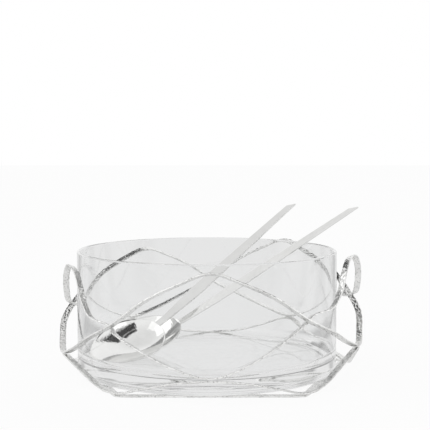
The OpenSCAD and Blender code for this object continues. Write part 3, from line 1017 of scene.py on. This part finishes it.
# where each server's neck is, and its heading, slope and roll
SPOON_NECK, SPOON_LAY = (-52.565, 20.905, 41.636), (40.91, 31.086, 29.72)
FORK_NECK, FORK_LAY = (-31.786, 35.770, 41.229), (13.27, 31.570, 27.28)


class SpoonOperator(bpy.types.Operator):
    """Build the serving spoon"""
    bl_idname = "salad_bowl.serving_spoon"
    bl_label = "Serving spoon"

    def execute(self, context):
        server(context, "polished_serving_spoon", "serving_spoon", SPOON_NECK, SPOON_LAY, 4.0)
        return {"FINISHED"}


class ForkOperator(bpy.types.Operator):
    """Build the serving fork"""
    bl_idname = "salad_bowl.serving_fork"
    bl_label = "Serving fork"

    def execute(self, context):
        server(context, "polished_serving_fork", "serving_fork", FORK_NECK, FORK_LAY, 5.0,
               slots=True)
        return {"FINISHED"}


SENSOR, IMAGE_PIXELS, FOCAL_PIXELS = 36, 430, 1176      # the camera's sensor and the view's width
CAMERA_X, CAMERA_DIP = 0.0038, 4.328        # metres to the right, and degrees under level
# name, place, size and power of each soft lamp
LAMPS = [
    ("key", (-1.3, -0.2, 1.3), 1.2, 1.6),
    ("fill", (1.5, -0.3, 0.8), 1.0, 1.0),
    ("front", (-0.9, -1.0, 1.5), 1.2, 1.2),
]
# greys of the light room, by height from 0, straight down, to 1, straight up
ROOM = [(0.50, 0.96), (0.85, 1.0), (0.98, 0.82)]


def studio():
    """The surroundings: white to the camera, a light room with black flags to the metal, and an
    even grey with darker sides to what looks through the glass."""
    world = bpy.data.worlds.new("Studio")
    world.use_nodes = True
    tree = world.node_tree
    tree.nodes.clear()
    new, link = tree.nodes.new, tree.links.new
    parts = new("ShaderNodeSeparateXYZ")
    link(new("ShaderNodeTexCoord").outputs["Generated"], parts.inputs[0])
    x, y, z = parts.outputs
    around = math_node(tree, "ARCTAN2", x, y)
    above = math_node(tree, "ARCSINE", z)
    path = new("ShaderNodeLightPath").outputs

    def hung(flags, soft):
        return any_of(tree, [
            math_node(tree, "MULTIPLY", band(tree, around, start, end, soft),
                      band(tree, above, low, high, soft)) for start, end, low, high in flags])

    level = new("ShaderNodeValToRGB")
    stops = level.color_ramp.elements
    for i, (height, grey) in enumerate(ROOM):
        stop = stops[i] if i < 2 else stops.new(height)
        stop.position, stop.color = height, (grey, grey, grey, 1)
    link(math_node(tree, "MULTIPLY_ADD", z, 0.5, 0.5), level.inputs["Fac"])

    satin = math_node(tree, "SUBTRACT", 1.0, path["Is Singular Ray"])
    dark = math_node(tree, "MAXIMUM", hung(FLAGS, FLAG_SOFT),
                     math_node(tree, "MULTIPLY", hung(STRAP_FLAGS, STRAP_FLAG_SOFT), satin))
    room = colour_mix(tree, dark, level.outputs["Color"], FLAG_BLACK)
    sides = seen_through(tree, around)
    behind = math_node(tree, "MULTIPLY_ADD", band(tree, above, *DARK_HIGH),
                       math_node(tree, "SUBTRACT", HIGH_DARK, sides), sides)
    shown = colour_mix(tree, path["Is Camera Ray"],
                       colour_mix(tree, through_glass(tree, path), room, behind), WHITE)
    light = new("ShaderNodeBackground")
    link(shown, light.inputs["Color"])
    light.inputs["Strength"].default_value = 1.0
    link(light.outputs[0], new("ShaderNodeOutputWorld").inputs["Surface"])
    return world


class StageOperator(bpy.types.Operator):
    """Set the pale floor, the soft lights, the surroundings and the camera"""
    bl_idname = "salad_bowl.stage"
    bl_label = "Stage"

    def execute(self, context):
        s = context.scene.salad_stage
        scene = context.scene
        half = s.floor_width / 2
        mesh = bpy.data.meshes.new("pale_floor")
        mesh.from_pydata([(-half, -half, 0), (half, -half, 0), (half, half, 0), (-half, half, 0)],
                         [], [(0, 1, 2, 3)])
        mesh.materials.append(floor_material())
        floor = bpy.data.objects.new("pale_floor", mesh)
        scene.collection.objects.link(floor)

        camera = bpy.data.cameras.new("camera")
        camera.sensor_width = SENSOR
        camera.lens = SENSOR * FOCAL_PIXELS / IMAGE_PIXELS
        camera.clip_start = 0.05
        seat = bpy.data.objects.new("camera", camera)
        seat.location = (CAMERA_X, -s.camera_distance, s.camera_height)
        seat.rotation_euler = (radians(90 - CAMERA_DIP), 0, 0)
        scene.collection.objects.link(seat)
        scene.camera = seat

        for name, place, size, watts in LAMPS:
            light = bpy.data.lights.new(name, "AREA")
            light.size = size
            light.energy = watts
            lamp = bpy.data.objects.new(name, light)
            lamp.location = place
            lamp.rotation_euler = (Vector((0, 0, 0.06)) - Vector(place)).to_track_quat(
                "-Z", "Y").to_euler()
            scene.collection.objects.link(lamp)

        scene.world = studio()
        scene.view_settings.view_transform = "Standard"
        return {"FINISHED"}


class SaladBowlPanel(bpy.types.Panel):
    """Lists the bowl's pieces"""
    bl_idname = "VIEW3D_PT_salad_bowl"
    bl_label = "Salad bowl"
    bl_space_type = "VIEW_3D"
    bl_region_type = "UI"
    bl_category = "Salad bowl"

    def draw(self, context):
        for group in ("salad_glass", "salad_strap", "salad_server", "salad_stage"):
            box = self.layout.box()
            settings = getattr(context.scene, group)
            for name in settings.__annotations__:
                box.prop(settings, name)
        for operator in OPERATORS:
            self.layout.operator(operator.bl_idname)


OPERATORS = (StageOperator, GlassBowlOperator, StarBandOperator, FootBandOperator,
             BaseBandOperator, SpoonOperator, ForkOperator)
SETTINGS = {"salad_glass": GlassBowlSettings, "salad_strap": StrapSettings,
            "salad_server": ServerSettings, "salad_stage": StageSettings}


def register():
    for settings in SETTINGS.values():
        bpy.utils.register_class(settings)
    for name, settings in SETTINGS.items():
        setattr(bpy.types.Scene, name, bpy.props.PointerProperty(type=settings))
    for operator in OPERATORS:
        bpy.utils.register_class(operator)
    bpy.utils.register_class(SaladBowlPanel)


def unregister():
    bpy.utils.unregister_class(SaladBowlPanel)
    for operator in reversed(OPERATORS):
        bpy.utils.unregister_class(operator)
    for name in SETTINGS:
        delattr(bpy.types.Scene, name)
    for settings in reversed(list(SETTINGS.values())):
        bpy.utils.unregister_class(settings)


def main():
    register()
    bpy.ops.salad_bowl.stage()
    bpy.ops.salad_bowl.glass_bowl()
    bpy.ops.salad_bowl.star_band()
    bpy.ops.salad_bowl.foot_band()
    bpy.ops.salad_bowl.base_band()
    bpy.ops.salad_bowl.serving_spoon()
    bpy.ops.salad_bowl.serving_fork()


if __name__ == "__main__":
    main()
